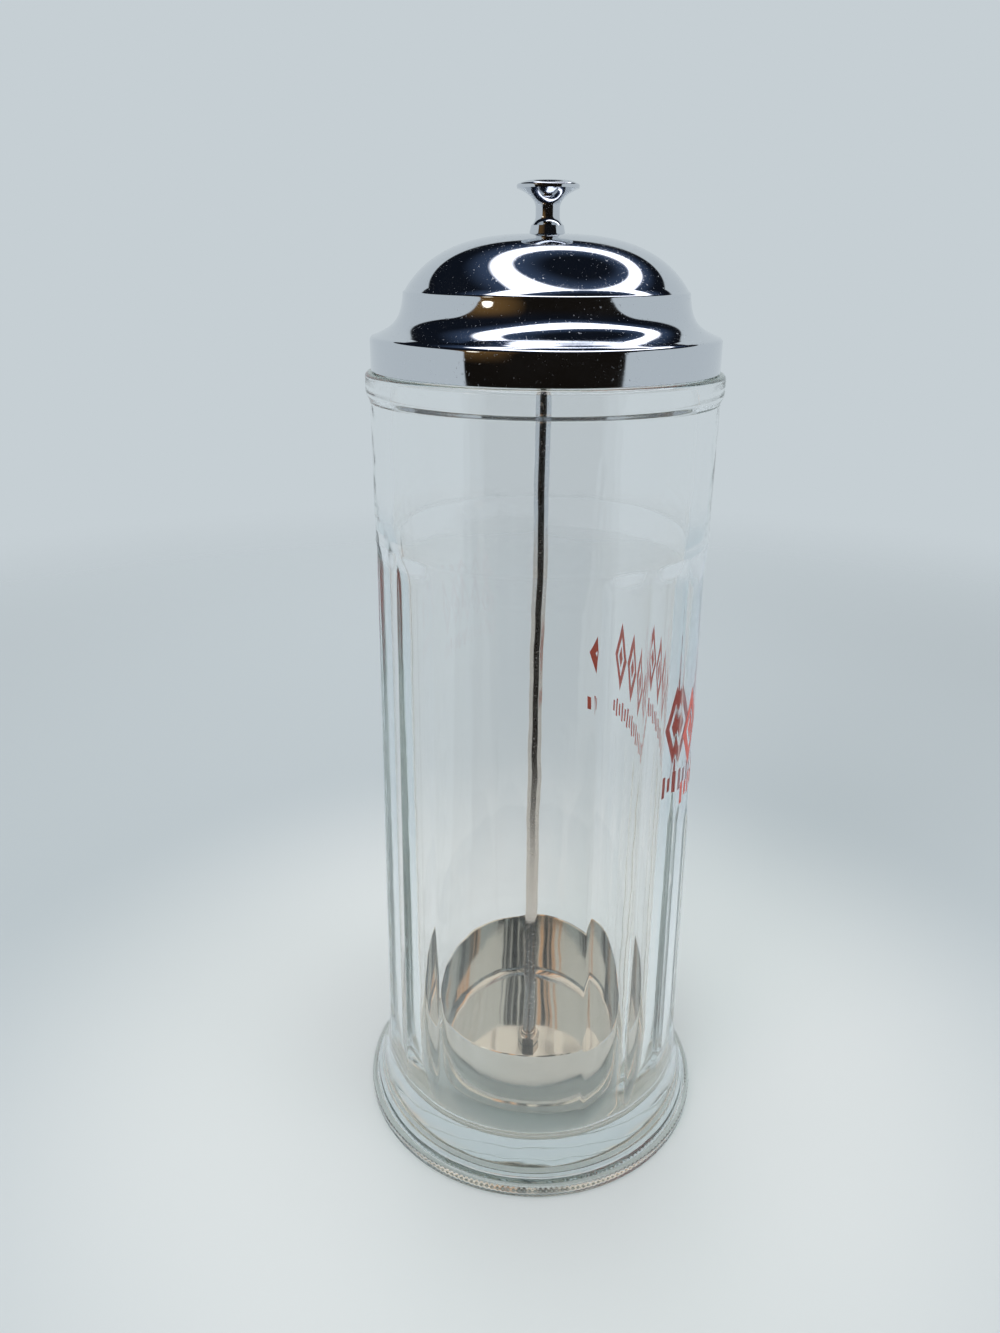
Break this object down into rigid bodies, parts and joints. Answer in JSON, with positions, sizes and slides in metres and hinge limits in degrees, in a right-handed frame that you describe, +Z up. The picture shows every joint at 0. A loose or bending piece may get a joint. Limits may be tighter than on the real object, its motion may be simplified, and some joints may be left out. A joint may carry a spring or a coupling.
{
  "type": "straw dispenser",
  "caption": "Straw dispenser: a tall fluted glass jar with a flared foot, and a domed lid, lift rod and straw cup that pull up out of it together by a trumpet knob.",
  "frame": {"origin": "middle of the foot's underside, on the surface that the jar stands on", "axes": "+Z up along the lift rod; -Y is the front, with the wide smooth panel turned 8 degrees towards -X from it"},
  "size_m": [0.1046, 0.1046, 0.268],
  "materials": {
    "glass": "clear pressed glass, fire polished",
    "chrome_plate": "bright chrome plate",
    "stainless": "polished stainless sheet",
    "zinc_plate": "bright zinc plate"
  },
  "bodies": {
    "jar": {"glass_jar": "glass"},
    "insert": {"lift_rod": "chrome_plate", "lift_knob": "chrome_plate", "straw_cup": "stainless", "cup_nut": "zinc_plate", "cup_washer": "zinc_plate", "cup_thin_nut": "zinc_plate", "lid_nut": "zinc_plate", "lid_washer": "zinc_plate"},
    "lid": {"lid_shell": "chrome_plate"}
  },
  "joints": [
    {"name": "lift", "type": "slide", "parent": "jar", "child": "insert", "axis": [0, 0, 1], "range_m": [0, 0.23]},
    {"name": "lid_turn", "type": "hinge", "parent": "insert", "child": "lid", "pos_m": [0, 0, 0.2563], "axis": [0, 0, 1], "continuous": true}
  ]
}
